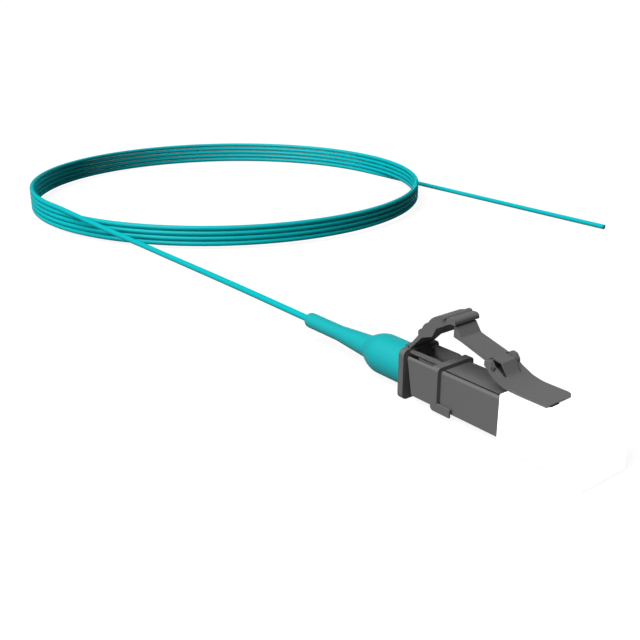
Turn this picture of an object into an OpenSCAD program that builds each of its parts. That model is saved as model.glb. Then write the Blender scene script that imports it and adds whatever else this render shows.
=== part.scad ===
// Simplex fibre optic cord: one small-form connector with a dust cap, its bend
// relief boot, and a coiled tight-buffered cable whose other end is cut bare.
// Millimetres. X points the way the connector plugs in, Z is up, and the
// origin is under the middle of the connector, on the surface it lies on.

/* [Cable] */
// Outside diameter of the cable jacket
cable_d = 0.9; // [0.8:0.05:1]
// Diameter of the coated fibre in the jacket
coated_d = 0.25; // [0.2:0.01:0.3]
// Diameter of the bare glass fibre
glass_d = 0.125; // [0.1:0.005:0.15]
// Radius of the coil, to the middle of the cable
coil_r = 40.8; // [35:0.1:45]
// Number of loops in the coil
coil_turns = 4.507; // [4.507:1:8.507]
// Climb of the coil in one loop
coil_pitch = 1.22; // [1.22:0.02:1.5]

/* [Plug body] */
// Height of the connector's axis above the surface
axis_z = 3; // [2.95:0.05:3.6]
// Width and height of the square nose
nose_w = 4.5; // [4.4:0.05:4.7]
// Length of the nose that goes into a socket
nose_len = 5.9; // [5.5:0.1:6.5]
// Length of the body side between the nose and the clip's front hoop
side_len = 8.05; // [7.5:0.05:9]
// Chamfer along the body's top edges
edge_cut = 0.35; // [0.2:0.05:0.5]
// Radius of the recess in front, round the ferrule
recess_r = 1.6; // [1.4:0.05:1.8]
// Depth of that recess
recess_depth = 5.5; // [5:0.1:5.6]
// Thickness of the wall that stops the ferrule's flange
stop_wall = 1; // [0.8:0.1:1.4]
// Radius of the chamber behind that wall
chamber_r = 1.5; // [1.45:0.05:1.6]
// Width of the two fine grooves on top
groove_w = 0.2; // [0.1:0.05:0.3]
// Depth of the pocket on top, between the rails
pocket_depth = 0.5; // [0.3:0.05:0.55]

/* [Latch] */
// Width of the tongue and of the two shoulders
latch_w = 4.28; // [4:0.04:4.4]
// Thickness of the tongue
tongue_t = 0.4; // [0.35:0.05:0.45]
// Clear height under the tongue
tongue_gap = 0.8; // [0.8:0.05:0.9]
// Length of the tongue, from its front edge to the bending line
tongue_len = 4.65; // [4.4:0.05:4.8]
// Radius of the tongue's front corner on the left
tongue_r = 0.6; // [0.3:0.1:0.9]
// Radius of its front corner on the right
tongue_edge = 0.1; // [0.05:0.05:0.5]
// Width of the tongue's root on the nose
root_w = 2; // [1.6:0.1:2.4]
// Length of that root
root_len = 1.4; // [1:0.1:1.8]
// Length of the ramp, from the bending line to the shoulders' rear faces
ramp_len = 3.3; // [3.1:0.1:3.4]
// Height of the shoulders above the tongue's top
ramp_rise = 2; // [1.8:0.05:2.1]
// Length of a shoulder
shoulder_len = 1; // [0.9:0.05:1.3]
// Height of a shoulder
shoulder_h = 1.1; // [0.9:0.05:1.3]
// Width of the latch's arm
arm_w = 3; // [2.6:0.1:3.4]
// Thickness of the latch's arm
arm_t = 0.49; // [0.45:0.01:0.55]
// Length of the sloping arm behind the shoulders
arm_len = 3.9; // [3.8:0.05:4]
// Climb of the sloping arm
arm_rise = 1.03; // [0.95:0.01:1.05]
// Length of the raised tail at the arm's end
tail_len = 1.15; // [1.1:0.05:1.3]
// Height of the tail's rear edge above the arm's end
tail_rise = 0.95; // [0.85:0.05:1]

/* [Clip] */
// Length of the clip's front hoop along the axis
hoop_t = 0.75; // [0.6:0.05:0.9]
// Width over the clip's hoop, feet and rear frame
clip_w = 5.6; // [5.5:0.1:6]
// Height of the hoop and the rails above the axis
hoop_up = 2.9; // [2.8:0.05:2.95]
// Length of the open stretch between the hoop and the rear frame
panel_len = 4.4; // [4:0.1:4.8]
// Thickness of the rear frame
frame_t = 0.8; // [0.7:0.05:1]
// Height of the rear frame's rear lip above the axis
frame_up = 3.4; // [3.36:0.02:3.5]
// Corner radius of the rear frame
frame_r = 0.7; // [0.4:0.1:1]
// Thickness of one rail
rail_t = 0.4; // [0.3:0.05:0.5]
// Distance between the rails
rail_gap = 2.7; // [2.4:0.1:3]
// Length of a foot in front of the hoop
foot_len = 2.05; // [1.5:0.05:2.5]
// Height of a foot
foot_h = 1; // [0.8:0.1:1.2]
// Corner radius of the hoop
hoop_r = 0.6; // [0.3:0.1:0.7]

/* [Trigger] */
// Thickness of the trigger's arm
trigger_t = 0.35; // [0.3:0.01:0.36]
// Height of the trigger's bending line above the axis
trigger_up = 3.25; // [3.2:0.01:3.26]
// Length of the trigger, from the bending line to its front edge
trigger_len = 6.6; // [6.4:0.05:6.7]
// Width of the trigger's front plate and block
trigger_w = 3.7; // [3.2:0.1:4.2]
// Width of the cross ridge on top
ridge_w = 4.36; // [4:0.04:4.8]
// Thickness of the front plate
tip_t = 0.6; // [0.5:0.01:0.7]
// Height of the cross ridge above that plate
ridge_h = 0.05; // [0.03:0.01:0.1]
// Free height between the front plate and the latch's tail
tip_gap = 0.3; // [0.28:0.01:0.4]

/* [Ferrule] */
// Diameter of the ceramic ferrule
ferrule_d = 1.25; // [1.2:0.01:1.3]
// Length of the ferrule
ferrule_len = 8.7; // [8.5:0.1:9.2]
// Stand-out of the ferrule's tip past the nose
tip_out = 0.2; // [0:0.05:0.3]
// Radius of the ferrule's flange
flange_r = 1.4; // [1.3:0.02:1.42]
// Thickness of the flange's disc
flange_t = 1; // [0.8:0.1:1.2]
// Length of the key ring behind the disc
key_len = 0.95; // [0.8:0.05:1.1]
// Radius of the flange's rear barrel
barrel_r = 0.85; // [0.8:0.01:0.88]
// Length of that barrel behind the key ring
barrel_len = 2.4; // [2:0.1:2.8]
// Travel of the ferrule against its spring
ferrule_push = 0.9; // [0.5:0.1:1]
// Wire diameter of the spring
wire_d = 0.25; // [0.2:0.01:0.26]
// Radius of the spring, to the middle of the wire
spring_r = 1.1; // [1.08:0.01:1.15]
// Number of curls in the spring
spring_turns = 7; // [5:1:9]
// Outside radius of the guide tube
guide_r = 0.3; // [0.28:0.01:0.32]
// Length of the guide tube
guide_len = 8.7; // [8:0.1:9]

/* [Rear body] */
// Depth of the rear body in the plug body's chamber
rear_depth = 4; // [3.5:0.1:4.4]
// Length of the neck behind the rear frame
neck_len = 4.3; // [4:0.1:4.6]
// Height of the neck's two gripping ribs
rib_h = 0.12; // [0.08:0.01:0.14]

/* [Boot] */
// Radius of the boot's collar
collar_r = 2.45; // [2.2:0.05:2.6]
// Length of the collar
collar_len = 5; // [4.8:0.1:5.5]
// Length of the rounded shoulder
shoulder_drop = 2.75; // [2.4:0.05:3]
// Radius where the shoulder meets the sleeve
sleeve_r = 1.44; // [1.3:0.02:1.6]
// Length of the tapered sleeve
taper_len = 5.75; // [5:0.05:6.5]
// Radius of the straight end
end_r = 1; // [0.8:0.05:1.1]
// Length of the straight end
end_len = 6.4; // [6:0.1:7]

/* [Dust cap] */
// Length of the nose left bare behind the cap
cap_start = 0.5; // [0.4:0.05:0.6]
// Wall of the cap's sleeve
cap_wall = 0.5; // [0.4:0.05:0.52]
// Thickness of the cap's top wall, under the tongue
cap_top = 0.65; // [0.5:0.05:0.7]
// Length of the cap's plain sleeve
sleeve_len = 6.1; // [6.1:0.1:6.6]
// Length of the flare
flare_len = 2; // [1.5:0.1:2.5]
// Length of the square grip
grip_len = 2.8; // [2.4:0.1:3.4]
// Width of the square grip
grip_w = 7.2; // [6.6:0.1:7.6]
// Height of the grip
grip_h = 6.6; // [6.4:0.1:7.2]
// Depth of the hole ahead of the ferrule's tip
cap_hole = 1.8; // [1:0.1:2.5]

/* [Clearances] */
// Gap between parts that are fitted to one another
fit = 0.02; // [0.01:0.005:0.03]
// Gap round the parts that slide with the ferrule
slide_gap = 0.05; // [0.03:0.01:0.07]
// Gap between the cap and the nose
cap_gap = 0.05; // [0.03:0.01:0.08]
// Gap round the two bending lines
bend_gap = 0.03; // [0.02:0.01:0.04]

/* [Hidden] */
$fn = 48;
// Stations along X, where station 0 is the rear end of the bare nose
nose_front = nose_len;
flare_start = cap_start + sleeve_len;
hoop_front = -side_len;
hoop_back = hoop_front - hoop_t;
frame_front = hoop_back - panel_len;
frame_back = frame_front - frame_t;
body_back = frame_front + 0.05;
body_slant = 0.85;
foot_top = -1.4;
hoop_in = nose_w / 2 + fit;
boot_reach = collar_len + shoulder_drop + taper_len + end_len;
boot_tip = frame_back - boot_reach;
cap_front = flare_start + flare_len + grip_len;
shift_x = -(boot_tip + cap_front) / 2;
stop_front = nose_front - recess_depth;
stop_back = stop_front - stop_wall;
flange_front = stop_back - slide_gap;
flange_back = flange_front - flange_t;
key_back = flange_back - key_len;
barrel_back = key_back - barrel_len;
ferrule_tip = nose_front + tip_out;
ferrule_back = ferrule_tip - ferrule_len;
guide_front = barrel_back + 1.2;
guide_back = guide_front - guide_len;
spring_front = key_back - fit;
rear_seat = body_back + rear_depth;
spring_back = rear_seat + fit;
neck_back = frame_back - neck_len;
jacket_front = guide_back - ferrule_push - 0.3;
neck_r = chamber_r - fit;
// Heights above the axis
nose_h = nose_w / 2;
tongue_z = nose_h + tongue_gap;
tongue_top = tongue_z + tongue_t;
tongue_front = nose_front - 0.05;
latch_x = tongue_front - tongue_len;
latch_z = tongue_z + tongue_t / 2;
latch_r = tongue_t / 2;
shoulder_x = latch_x - ramp_len;
shoulder_z = tongue_top + ramp_rise;
arm_x = shoulder_x - arm_len;
arm_z = shoulder_z + arm_rise;
tail_x = arm_x - tail_len;
tail_z = arm_z + tail_rise;
trigger_x = frame_front - 0.1;
trigger_r = trigger_t / 2;
tip_z = tail_z + tip_gap;
seat_z = trigger_up - trigger_r - bend_gap;
seat_x = trigger_x - trigger_r - bend_gap;
cap_half = nose_h + cap_gap + cap_wall;
cap_top_z = nose_h + cap_gap + cap_top;
collar_bore = neck_r + rib_h + fit;
// Cable
cable_z = cable_d / 2;
coil_x = -99.4;
coil_y = 37.4;
coil_start = -87.2;
loop_rings = 24;
coil_top = cable_z + coil_turns * coil_pitch;
coil_sweep = 360 * coil_turns;
coil_step = 360 / loop_rings;
coil_half_h = cable_d / 2 * cos(30);
tail_end = [-31.9, 78.4, cable_z];

// The coil's middle line: a turn of a degrees, from the top end down
function coil_point(a) = [coil_x + coil_r * cos(coil_start - a),
                          coil_y + coil_r * sin(coil_start - a),
                          coil_top - coil_pitch * a / 360];
function coil_dir(a) = [sin(coil_start - a), -cos(coil_start - a), 0];
coil_turn = concat([for (a = [0:coil_step:coil_sweep - 1]) a], [coil_sweep]);
coil_in = coil_point(0) - cable_d * coil_dir(0);
coil_out = coil_point(coil_sweep) + cable_d * coil_dir(coil_sweep);
coil_line = concat([coil_in], [for (a = coil_turn) coil_point(a)], [coil_out]);
coil_last = len(coil_line) - 1;
coil_gap = min([for (i = [0:coil_last]) for (j = [0:coil_last])
                if (j > i + loop_rings / 2) norm(coil_line[i] - coil_line[j])])
           - 2 * coil_half_h;
echo(least_gap_between_loops = coil_gap);
// Routes of the two free stretches
boot_end = [boot_tip + shift_x, 0, axis_z];
lead_route = [boot_end, boot_end - [2, 0, 0],
              [-40, -0.6, 3.5], [-60, -1.6, 4.5], [-80, -2.6, 5.5],
              coil_in - 2 * coil_dir(0), coil_in];
tail_route = [coil_out, coil_out + 2 * coil_dir(coil_sweep),
              [-75, 78.3, cable_z], [-50, 78.3, cable_z], tail_end];

// A point on the smooth curve through p1 and p2, with neighbours p0 and p3
function curve(p0, p1, p2, p3, t) =
    0.5 * (2 * p1 + (p2 - p0) * t + (2 * p0 - 5 * p1 + 4 * p2 - p3) * t * t
    + (3 * p1 - p0 - 3 * p2 + p3) * t * t * t);
function route_step(route, i, step) =
    max(1, round(norm(route[i + 1] - route[i]) / step));
// A route filled in with points about one step apart
function fill_route(route, step) = concat(
    [for (i = [0:len(route) - 2])
     for (k = [0:route_step(route, i, step) - 1])
     curve(route[max(i - 1, 0)], route[i], route[i + 1],
           route[min(i + 2, len(route) - 1)],
           k / route_step(route, i, step))],
    [route[len(route) - 1]]);
function unit(v) = v / norm(v);
// Directions along a line of points, between the two given for its ends
function line_dirs(line, first, last) = concat([first],
    [for (i = [1:len(line) - 2]) unit(line[i + 1] - line[i - 1])], [last]);
function level_sides(dirs) = [for (d = dirs) unit(cross(d, [0, 0, 1]))];

// A tube along a line of points, with flat ends
module tube(line, dirs, sides, r, n) {
    rings = len(line);
    points = [for (k = [0:rings - 1]) for (i = [0:n - 1])
              line[k] + r * (cos(360 * i / n) * sides[k]
              + sin(360 * i / n) * cross(sides[k], dirs[k]))];
    walls = [for (k = [0:rings - 2]) for (i = [0:n - 1]) for (h = [0, 1])
             h == 0
             ? [k * n + i, k * n + (i + 1) % n, (k + 1) * n + i]
             : [(k + 1) * n + i, k * n + (i + 1) % n, (k + 1) * n + (i + 1) % n]];
    front = [for (i = [1:n - 2]) [0, i + 1, i]];
    last = (rings - 1) * n;
    back = [for (i = [1:n - 2]) [last, last + i, last + i + 1]];
    polyhedron(points = points, faces = concat(front, walls, back));
}

// A free stretch of cable along a route, with the directions of its two ends
module cable(route, first, last) {
    line = fill_route(route, 2.6 * cable_d);
    dirs = line_dirs(line, first, last);
    tube(line, dirs, level_sides(dirs), cable_d / 2, 8);
}

// Moves what is drawn from the connector's own stations to the part's frame
module place() {
    translate([shift_x, 0, axis_z]) children();
}

// An outline in X and Z, as wide as w across Y
module side_shape(points, w) {
    rotate([90, 0, 0]) linear_extrude(w, center = true) polygon(points);
}

// A bar between two stations
module bar(x0, x1, w, z0, z1) {
    translate([x0, -w / 2, z0]) cube([x1 - x0, w, z1 - z0]);
}

// A round rod between two stations
module rod(x0, x1, r) {
    translate([x0, 0, 0]) rotate([0, 90, 0]) cylinder(h = x1 - x0, r = r);
}

// A turned piece: each point is a station and a radius
module turned(points) {
    rotate([0, 90, 0]) rotate_extrude()
        polygon([for (p = points) [p[1], p[0]]]);
}

module mirror_y() {
    children();
    mirror([0, 1, 0]) children();
}

// Square bar with chamfered top edges
module body_bar(x0, x1) {
    translate([x0, 0, 0]) rotate([90, 0, 90]) linear_extrude(x1 - x0)
        polygon([[-nose_h, -nose_h], [nose_h, -nose_h],
                 [nose_h, nose_h - edge_cut], [nose_h - edge_cut, nose_h],
                 [edge_cut - nose_h, nose_h], [-nose_h, nose_h - edge_cut]]);
}

module plug_body() {
    color("#2b2b2d") place() {
        difference() {
            body_bar(body_back, nose_front);
            side_shape([[body_back - 1, nose_h + 1], [body_back, nose_h],
                        [body_back + body_slant, -nose_h - 1],
                        [body_back - 1, -nose_h - 1]], nose_w + 1);
            rod(stop_front, nose_front + 1, recess_r);
            rod(body_back - 1, stop_back, chamber_r);
            rod(stop_back - 1, stop_front + 1, ferrule_d / 2 + slide_gap);
            bar(body_back - 1, hoop_back, rail_gap - 0.4, nose_h - pocket_depth, nose_h + 1);
            mirror_y() translate([hoop_front, nose_h - edge_cut - groove_w, nose_h - groove_w])
                cube([side_len, groove_w, 2 * groove_w]);
        }
        bar(tongue_front - root_len, tongue_front, root_w, nose_h, tongue_z);
        difference() {
            tongue();
            translate([latch_x, 0, latch_z]) rotate([90, 0, 0])
                cylinder(h = latch_w + 1, r = latch_r + bend_gap, center = true);
        }
    }
}

// Flat tongue with two round front corners
module tongue() {
    translate([0, 0, tongue_z]) linear_extrude(tongue_t) {
        half = latch_w / 2;
        translate([latch_x, -half])
            square([tongue_len - tongue_r, latch_w]);
        translate([latch_x, tongue_edge - half])
            square([tongue_len, latch_w - tongue_edge - tongue_r]);
        translate([tongue_front - tongue_r, half - tongue_r])
            circle(r = tongue_r);
        translate([latch_x, -half])
            square([tongue_len - tongue_edge, 2 * tongue_edge]);
        translate([tongue_front - tongue_edge, tongue_edge - half])
            circle(r = tongue_edge);
    }
}

module latch() {
    color("#2b2b2d") place() {
        translate([latch_x, 0, latch_z]) rotate([90, 0, 0])
            cylinder(h = latch_w, r = latch_r, center = true);
        ramp();
        mirror_y() shoulder();
        side_shape([[shoulder_x, shoulder_z], [shoulder_x, shoulder_z - arm_t],
                    [arm_x, arm_z - arm_t], [tail_x, arm_z - 0.2],
                    [tail_x, tail_z], [tail_x + 0.2, tail_z],
                    [arm_x, arm_z]], arm_w);
    }
}

// Ramp from the bending line up to the shoulders
module ramp() {
    bow_x = latch_x - 0.36 * ramp_len;
    bow_z = tongue_top + 0.3 * ramp_rise;
    side_shape([[latch_x, latch_z + latch_r], [latch_x, latch_z - latch_r],
                [bow_x, bow_z - arm_t - 0.1], [shoulder_x, shoulder_z - arm_t],
                [shoulder_x, shoulder_z], [bow_x, bow_z]], arm_w);
    side_shape([[latch_x, latch_z + latch_r], [latch_x, latch_z - latch_r],
                [bow_x, bow_z - arm_t - 0.1], [bow_x, bow_z]], latch_w);
}

// Locking shoulder with an upright rear face
module shoulder() {
    inner = arm_w / 2 - 0.1;
    translate([0, latch_w / 2, 0]) rotate([90, 0, 0])
        linear_extrude(latch_w / 2 - inner)
            polygon([[shoulder_x, shoulder_z - shoulder_h],
                     [shoulder_x, shoulder_z],
                     [shoulder_x + shoulder_len * 0.5, shoulder_z],
                     [shoulder_x + shoulder_len, shoulder_z - 0.5],
                     [shoulder_x + shoulder_len, shoulder_z - shoulder_h]]);
}

module clip_frame() {
    color("#2b2b2d") place() {
        rear_frame();
        mirror_y() translate([frame_front, rail_gap / 2, hoop_in])
            cube([panel_len, rail_t, hoop_up - hoop_in]);
        hoop();
        mirror_y() translate([hoop_back, hoop_in, foot_top - foot_h])
            cube([hoop_t + foot_len, clip_w / 2 - hoop_in, foot_h]);
    }
}

// Hoop over the body, open below, with round top corners
module hoop() {
    corner = clip_w / 2 - hoop_r;
    translate([hoop_back, 0, 0]) rotate([90, 0, 90]) linear_extrude(hoop_t)
        difference() {
            union() {
                translate([-clip_w / 2, foot_top])
                    square([clip_w, hoop_up - hoop_r - foot_top]);
                translate([-corner, foot_top])
                    square([2 * corner, hoop_up - foot_top]);
                for (y = [-corner, corner])
                    translate([y, hoop_up - hoop_r]) circle(r = hoop_r);
            }
            translate([-hoop_in, foot_top - 1])
                square([2 * hoop_in, hoop_in - foot_top + 1]);
        }
}

// Rounded upright plate with the hole for the neck and the trigger's seat
module rear_frame() {
    low = -axis_z;
    difference() {
        translate([frame_back, 0, 0]) rotate([90, 0, 90]) linear_extrude(frame_t)
            difference() {
                union() {
                    translate([-clip_w / 2, low + frame_r])
                        square([clip_w, seat_z - low - 2 * frame_r]);
                    translate([frame_r - clip_w / 2, low])
                        square([clip_w - 2 * frame_r, frame_up - low]);
                    for (y = [-1, 1]) for (z = [low + frame_r, seat_z - frame_r])
                        translate([y * (clip_w / 2 - frame_r), z])
                            circle(r = frame_r);
                }
                circle(r = neck_r + fit);
            }
        bar(seat_x, frame_front + 1, clip_w, seat_z, frame_up + 1);
    }
}

module trigger() {
    rise = tip_z - trigger_up;
    ridge_back = trigger_len - 2;
    ridge_front = ridge_back + 0.6;
    plate_top = rise + tip_t;
    ridge_top = plate_top + ridge_h;
    nose_x = trigger_len - tip_t / 2;
    color("#2b2b2d") place() translate([trigger_x, 0, trigger_up]) {
        rotate([90, 0, 0])
            cylinder(h = trigger_w, r = trigger_r, center = true);
        side_shape([[trigger_r * 0.77, -trigger_r * 0.64],
                    [-trigger_r * 0.77, trigger_r * 0.64],
                    [1.3, 2.15], [1.8, 1.7]], trigger_w);
        side_shape([[1.3, 2.15], [1.25, 2.5], [1.75, 2.95], [1.9, 3.15],
                    [2.75, 3.85], [2.95, 4.2], [3.45, 4.6],
                    [ridge_back - 0.5, plate_top - 0.38],
                    [ridge_back + 0.1, plate_top - 0.1], [ridge_back + 0.1, rise],
                    [3.9, rise - 0.7],
                    [3.5, 2.7], [3.2, 2.3], [2.5, 1.85], [1.8, 1.7]], trigger_w);
        bar(ridge_back, nose_x, trigger_w, rise, plate_top);
        translate([nose_x, 0, rise + tip_t / 2]) rotate([90, 0, 0])
            cylinder(h = trigger_w, r = tip_t / 2, center = true);
        side_shape([[ridge_back, plate_top - 0.2], [ridge_back, ridge_top - 0.1],
                    [ridge_back + 0.1, ridge_top], [ridge_front - 0.1, ridge_top],
                    [ridge_front, plate_top - 0.2]], ridge_w);
    }
}

module rear_body() {
    color("#3a3a3c") place() difference() {
        union() {
            rod(neck_back, rear_seat, neck_r);
            for (i = [0, 1])
                turned([[neck_back + 0.4 + 1.5 * i, neck_r - 0.1],
                        [neck_back + 0.8 + 1.5 * i, neck_r + rib_h],
                        [neck_back + 1 + 1.5 * i, neck_r + rib_h],
                        [neck_back + 1 + 1.5 * i, neck_r - 0.1]]);
        }
        rod(neck_back - 1, rear_seat + 1, guide_r + slide_gap);
        rod(neck_back - 1, jacket_front, cable_d / 2 + fit);
    }
}

module ferrule() {
    color("white") place() difference() {
        turned([[ferrule_back, 0], [ferrule_back, ferrule_d / 2],
                [ferrule_tip - 0.25, ferrule_d / 2],
                [ferrule_tip, ferrule_d / 2 - 0.15], [ferrule_tip, 0]]);
        rod(ferrule_back - 1, ferrule_tip + 1, glass_d / 2 + fit / 4);
    }
}

module ferrule_flange() {
    color("silver") place() difference() {
        union() {
            rod(flange_back, flange_front, flange_r);
            rod(barrel_back, flange_back, barrel_r);
        }
        rod(ferrule_back - fit, flange_front + 1, ferrule_d / 2 + fit / 2);
        rod(barrel_back - 1, flange_front, coated_d / 2 + fit);
        rod(barrel_back - 1, guide_front, guide_r + fit / 2);
    }
}

module flange_key() {
    color("dimgray") place() difference() {
        translate([key_back, 0, 0]) rotate([0, 90, 0])
            cylinder(h = key_len, r = flange_r, $fn = 6);
        rod(key_back - 1, flange_back + 1, barrel_r + fit);
    }
}

module ferrule_spring() {
    rings = 12 * spring_turns;
    first = spring_front - wire_d / 2;
    span = first - spring_back - wire_d / 2;
    line = [for (i = [0:rings])
            [first - span * i / rings,
             spring_r * cos(30 * i), spring_r * sin(30 * i)]];
    radial = [for (i = [0:rings]) [0, cos(30 * i), sin(30 * i)]];
    along = [for (i = [0:rings]) unit([-span / spring_turns / (2 * PI * spring_r),
                                       -sin(30 * i), cos(30 * i)])];
    color("gainsboro") place() tube(line, along, radial, wire_d / 2, 6);
}

module glass_fibre() {
    color("lightcyan") place() rod(ferrule_back, ferrule_tip, glass_d / 2);
}

module coated_fibre() {
    color("lightblue") place()
        rod(boot_tip + 3, ferrule_back - fit, coated_d / 2);
}

module guide_tube() {
    color("ivory") place() difference() {
        rod(guide_back, guide_front - fit, guide_r);
        rod(guide_back - 1, guide_front + 1, coated_d / 2 + fit);
    }
}

module cable_in_boot() {
    color("#12bcc4") place() difference() {
        rod(boot_tip, jacket_front - fit, cable_d / 2);
        rod(boot_tip + 1, jacket_front + 1, coated_d / 2 + fit);
    }
}

module boot() {
    shoulder_start = frame_back - collar_len;
    taper_start = shoulder_start - shoulder_drop;
    end_start = taper_start - taper_len;
    cavity = neck_back - 0.2;
    color("#1fc4cb") place() difference() {
        turned(concat(
            [[frame_back, 0], [frame_back, collar_r - 0.15],
             [frame_back - 0.15, collar_r]],
            [for (i = [0:8]) [shoulder_start - shoulder_drop * i / 8,
             sleeve_r + (collar_r - sleeve_r) * cos(90 * i / 8)]],
            [[end_start, end_r], [boot_tip + 0.3, end_r],
             [boot_tip, end_r - 0.25], [boot_tip, 0]]));
        rod(cavity, frame_back + 1, collar_bore);
        rod(boot_tip - 1, frame_back, cable_d / 2 + fit);
    }
}

module dust_cap() {
    low = -axis_z;
    flare_end = flare_start + flare_len;
    ledge = nose_front + 0.1;
    inner = nose_w + 2 * cap_gap;
    color("#f4f4f2") place() difference() {
        intersection() {
            linear_extrude(2 * grip_h, center = true)
                polygon([[cap_start, -cap_half], [flare_start, -cap_half],
                         [flare_end, -grip_w / 2], [cap_front, -grip_w / 2],
                         [cap_front, grip_w / 2], [flare_end, grip_w / 2],
                         [flare_start, cap_half], [cap_start, cap_half]]);
            side_shape([[cap_start, -cap_half], [flare_start, -cap_half],
                        [flare_end, low], [cap_front, low],
                        [cap_front, low + grip_h], [flare_end, low + grip_h],
                        [flare_start, cap_top_z + 0.4],
                        [ledge, cap_top_z + 0.4], [ledge, cap_top_z],
                        [cap_start, cap_top_z]], grip_w);
        }
        bar(-1, ledge, inner, -inner / 2, inner / 2);
        bar(-1, ledge, root_w + 4 * cap_gap, 0, cap_top_z + 1);
        rod(nose_front, ferrule_tip + cap_hole, ferrule_d / 2 + 0.3);
    }
}

module lead() {
    color("#12bcc4") cable(lead_route, [-1, 0, 0], coil_dir(0));
}

module coil() {
    dirs = concat([coil_dir(0)], [for (a = coil_turn) coil_dir(a)],
                  [coil_dir(coil_sweep)]);
    color("#12bcc4")
        tube(coil_line, dirs, level_sides(dirs), cable_d / 2, 6);
}

module tail() {
    color("#12bcc4") cable(tail_route, coil_dir(coil_sweep), [1, 0, 0]);
}

plug_body();
latch();
clip_frame();
trigger();
rear_body();
ferrule();
ferrule_flange();
flange_key();
ferrule_spring();
glass_fibre();
coated_fibre();
guide_tube();
cable_in_boot();
boot();
dust_cap();
lead();
coil();
tail();
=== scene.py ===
"""Looks of a fibre optic cord: latching plug with a dust cap, bend relief boot and coiled cable.

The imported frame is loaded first. Each piece has an operator of its own, and main() calls them in order.
The plug's pieces are written in millimetres, with X counted from the rear end of the bare nose and Z from
the plug's axis. The cable and the spring are in the frame's own millimetres.
"""

import math

import bmesh
import bpy
from bpy.props import FloatProperty, FloatVectorProperty, IntProperty, PointerProperty
from mathutils import Matrix, Vector


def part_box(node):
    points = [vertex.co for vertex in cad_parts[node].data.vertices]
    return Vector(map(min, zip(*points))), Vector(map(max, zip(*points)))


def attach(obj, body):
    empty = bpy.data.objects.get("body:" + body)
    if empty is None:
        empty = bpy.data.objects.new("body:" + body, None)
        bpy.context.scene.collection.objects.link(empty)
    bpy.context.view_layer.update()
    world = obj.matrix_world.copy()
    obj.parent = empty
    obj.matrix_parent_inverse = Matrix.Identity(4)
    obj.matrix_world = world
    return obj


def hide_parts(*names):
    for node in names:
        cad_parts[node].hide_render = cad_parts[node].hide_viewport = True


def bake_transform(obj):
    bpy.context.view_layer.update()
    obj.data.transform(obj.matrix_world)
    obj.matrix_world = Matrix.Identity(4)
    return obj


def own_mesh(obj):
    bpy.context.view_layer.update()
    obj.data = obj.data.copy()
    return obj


bl_info = {
    "name": "Fibre optic cord",
    "version": (1, 0, 0),
    "blender": (4, 5, 0),
    "location": "3D View > Sidebar > Cord",
    "description": "Dresses the packed fibre optic cord for its render",
    "category": "Object",
}

MM = 0.001
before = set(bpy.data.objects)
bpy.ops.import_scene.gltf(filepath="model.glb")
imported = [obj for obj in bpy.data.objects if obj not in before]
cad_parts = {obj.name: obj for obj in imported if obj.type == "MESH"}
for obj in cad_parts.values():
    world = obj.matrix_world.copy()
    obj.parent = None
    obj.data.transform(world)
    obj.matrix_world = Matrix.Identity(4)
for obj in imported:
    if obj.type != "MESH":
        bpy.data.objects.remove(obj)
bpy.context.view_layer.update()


def colour(code):
    """Linear red, green and blue of an sRGB hex code."""
    parts = [int(code[i:i + 2], 16) / 255 for i in (1, 3, 5)]
    return tuple(c / 12.92 if c <= 0.04045 else ((c + 0.055) / 1.055) ** 2.4 for c in parts)


def node_box(node):
    """Lowest and highest corner of a CAD node in millimetres."""
    low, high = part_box(node)
    return low / MM, high / MM


# Places that the frame gives, in the frame's own millimetres
BODY_LOW, BODY_HIGH = node_box("plug_body")
BOOT_LOW = node_box("boot")[0]
CAP_LOW, CAP_HIGH = node_box("dust_cap")
CLIP_LOW = node_box("clip_frame")[0]
LATCH_LOW, LATCH_HIGH = node_box("latch")
TRIGGER_HIGH = node_box("trigger")[1]

# The bare nose, and the move and scale from the plug's own millimetres to the frame's metres
NOSE_LEN = 5.9
NOSE_HALF = -BODY_LOW.y
AXIS_Z = BODY_LOW.z + NOSE_HALF
SHIFT_X = BODY_HIGH.x - NOSE_LEN
PLACE = Matrix.Translation((SHIFT_X * MM, 0, AXIS_Z * MM)) @ Matrix.Scale(MM, 4)

# Stations along the plug
HOOP_FRONT = -7.92
HOOP_BACK = -8.85
FRAME_FRONT = -13.2
FRAME_BACK = CLIP_LOW.x - SHIFT_X
BOOT_TIP = BOOT_LOW.x - SHIFT_X
CAP_REAR = CAP_LOW.x - SHIFT_X
CAP_FRONT = CAP_HIGH.x - SHIFT_X

# Heights over the plug's axis, and radii round it
LATCH_TOP = LATCH_HIGH.z - AXIS_Z
NECK_R = 1.48
CHAMBER_R = 1.5
MOUTH_R = 1.6
FERRULE_R = 0.625
TIP_OUT = 0.2


# ---------------------------------------------------------------- sizes and colours


class CordSettings(bpy.types.PropertyGroup):
    """Sizes and colours of the cable."""

    cable_d: FloatProperty(
        name="Cable diameter", description="Outside diameter of the jacket, in millimetres", default=0.9)
    coil_r: FloatProperty(
        name="Coil radius", description="Radius to the cable's middle line, in millimetres", default=40.8)
    turns: FloatProperty(name="Turns", description="Number of loops in the coil", default=4.507)
    pitch: FloatProperty(name="Pitch", description="Climb of one loop, in millimetres", default=0.924)
    sides: IntProperty(name="Sides", description="Sides of the cable's section", default=16)
    jacket: FloatVectorProperty(
        name="Jacket", description="Colour of the jacket", subtype="COLOR", default=colour("#00b0b6"))


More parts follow.
